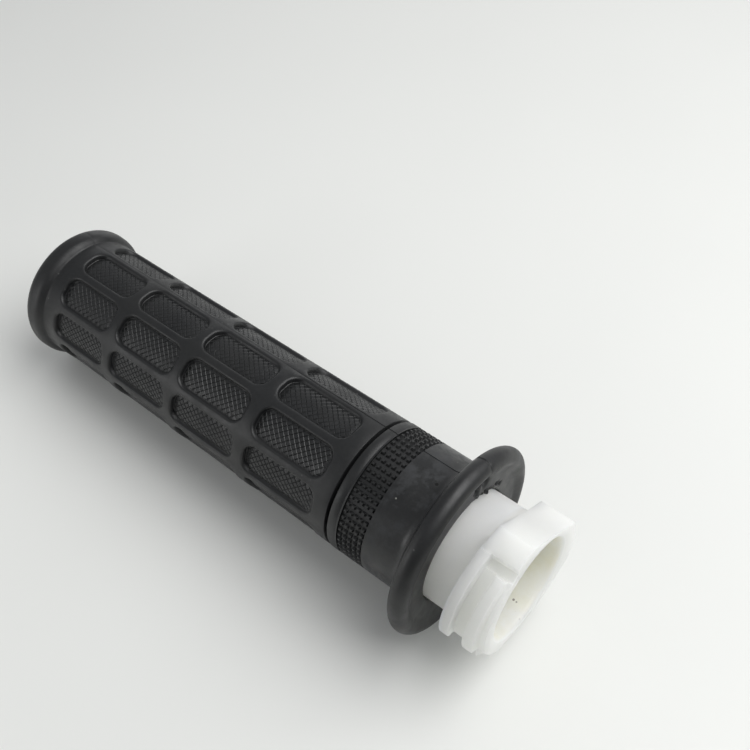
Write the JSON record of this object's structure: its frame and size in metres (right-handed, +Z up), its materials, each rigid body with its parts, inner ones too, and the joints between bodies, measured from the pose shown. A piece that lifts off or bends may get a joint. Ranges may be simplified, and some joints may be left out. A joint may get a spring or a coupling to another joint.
{
  "type": "throttle grip",
  "caption": "Motorcycle throttle grip: a padded rubber sleeve with end flanges on a white nylon throttle tube that ends in a cable drum.",
  "frame": {"origin": "centre of the bore's mouth, in the plane of the cable drum's inboard end face", "axes": "+X along the handlebar bore, inboard and out of the drum's open end; the sleeve runs towards -X; +Z up as the grip lies in the picture"},
  "size_m": [0.1352, 0.043, 0.043],
  "materials": {
    "nylon": "natural white moulded nylon, slightly translucent, satin",
    "rubber": "black moulded rubber, matt with a soft sheen"
  },
  "bodies": {
    "tube": {"throttle_tube": "nylon"},
    "sleeve": {"grip_sleeve": "rubber"}
  },
  "joints": [
    {"name": "sleeve_pull_off", "type": "slide", "parent": "tube", "child": "sleeve", "axis": [-1, 0, 0], "range_m": [0, 0.116]}
  ]
}
